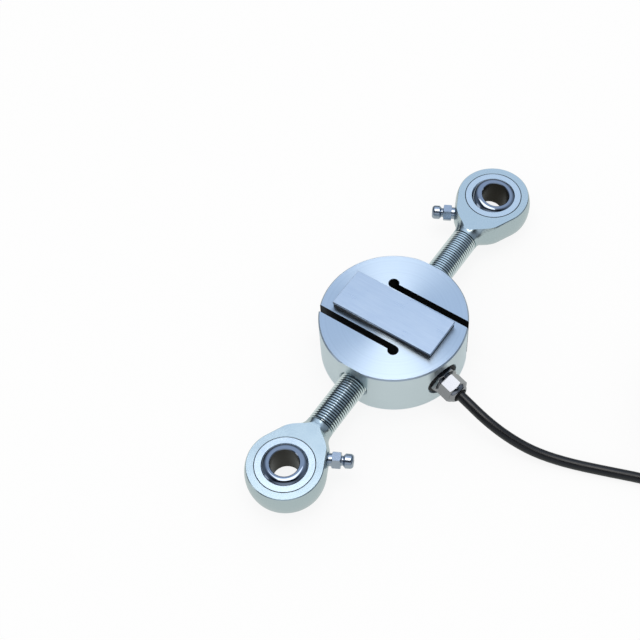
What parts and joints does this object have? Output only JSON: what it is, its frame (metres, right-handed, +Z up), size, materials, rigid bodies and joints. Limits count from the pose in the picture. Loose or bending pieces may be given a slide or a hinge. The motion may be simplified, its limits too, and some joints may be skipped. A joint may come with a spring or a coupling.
{
  "type": "s type load cell",
  "caption": "Round S shaped load cell lying flat, with a spherical rod end screwed into each side, grease fittings, a cable gland and a coiled lead.",
  "frame": {"origin": "centre of the round body's back face, which it lies on", "axes": "+Z up through the cover plate, +X along the load axis to the far rod end, -Y towards the cable gland"},
  "size_m": [0.2077, 0.2239, 0.0289],
  "materials": {
    "machined_steel": "lathe turned stainless steel",
    "cover_steel": "fine brushed stainless sheet",
    "black_sealant": "satin black silicone",
    "gauge_foil": "amber polyimide film",
    "board_green": "green circuit board",
    "wire_insulation": "fine coloured insulation",
    "zinc_plated_steel": "bright zinc plating",
    "race_steel": "zinc plated ring",
    "polished_ball": "polished hard chrome",
    "nickel_brass": "bright nickel plated brass",
    "gland_rubber": "black rubber",
    "gland_nylon": "black nylon",
    "spring_wire": "spring steel wire",
    "cable_jacket": "black PVC jacket",
    "tie_nylon": "black nylon",
    "shrink_sleeve": "black shrink sleeve",
    "insulation_red": "red PVC insulation",
    "insulation_black": "black PVC insulation",
    "insulation_green": "green PVC insulation",
    "insulation_white": "white PVC insulation",
    "tinned_copper": "tinned copper strands"
  },
  "bodies": {
    "cell": {"spring_element": "machined_steel", "cover_plate": "cover_steel", "plate_seal": "black_sealant", "strain_gauge_1": "gauge_foil", "strain_gauge_2": "gauge_foil", "strain_gauge_3": "gauge_foil", "strain_gauge_4": "gauge_foil", "terminal_board": "board_green", "bridge_wires": "wire_insulation", "gland_body": "nickel_brass", "gland_gasket": "gland_rubber", "gland_seal": "gland_rubber", "gland_claw": "gland_nylon", "gland_nut": "nickel_brass", "cable_lead": "cable_jacket", "cable_coil": "cable_jacket", "cable_tail": "cable_jacket", "cable_tie": "tie_nylon", "cable_end_sleeve": "shrink_sleeve", "conductor_red": "insulation_red", "conductor_black": "insulation_black", "conductor_green": "insulation_green", "conductor_white": "insulation_white", "shield_drain": "tinned_copper"},
    "near_eye": {"near_rod_end": "zinc_plated_steel", "near_race": "race_steel", "near_grease_fitting": "zinc_plated_steel", "near_check_spring": "spring_wire"},
    "near_swivel": {"near_ball": "polished_ball"},
    "near_valve": {"near_check_ball": "polished_ball"},
    "far_eye": {"far_rod_end": "zinc_plated_steel", "far_race": "race_steel", "far_grease_fitting": "zinc_plated_steel", "far_check_spring": "spring_wire"},
    "far_swivel": {"far_ball": "polished_ball"},
    "far_valve": {"far_check_ball": "polished_ball"}
  },
  "joints": [
    {"name": "near_eye_turn", "type": "hinge", "parent": "cell", "child": "near_eye", "pos_m": [-0.0325, 0, 0.0127], "axis": [1, 0, 0], "range_deg": [-90, 90]},
    {"name": "far_eye_turn", "type": "hinge", "parent": "cell", "child": "far_eye", "pos_m": [0.0325, 0, 0.0127], "axis": [1, 0, 0], "range_deg": [-90, 90]},
    {"name": "near_ball_swivel", "type": "hinge", "parent": "near_eye", "child": "near_swivel", "pos_m": [-0.0838, 0, 0.0127], "axis": [0, 1, 0], "range_deg": [-12, 12]},
    {"name": "far_ball_swivel", "type": "hinge", "parent": "far_eye", "child": "far_swivel", "pos_m": [0.0865, 0, 0.0127], "axis": [1, 0, 0], "range_deg": [-21, 3]},
    {"name": "near_valve_press", "type": "slide", "parent": "near_eye", "child": "near_valve", "axis": [-0.4695, 0.8829, 0], "range_m": [0, 0.0005], "stiffness_N_per_m": 20, "springref_m": -0.0005, "deforming": ["near_check_spring"]},
    {"name": "far_valve_press", "type": "slide", "parent": "far_eye", "child": "far_valve", "axis": [0.4695, -0.8829, 0], "range_m": [0, 0.0005], "stiffness_N_per_m": 20, "springref_m": -0.0005, "deforming": ["far_check_spring"]}
  ]
}
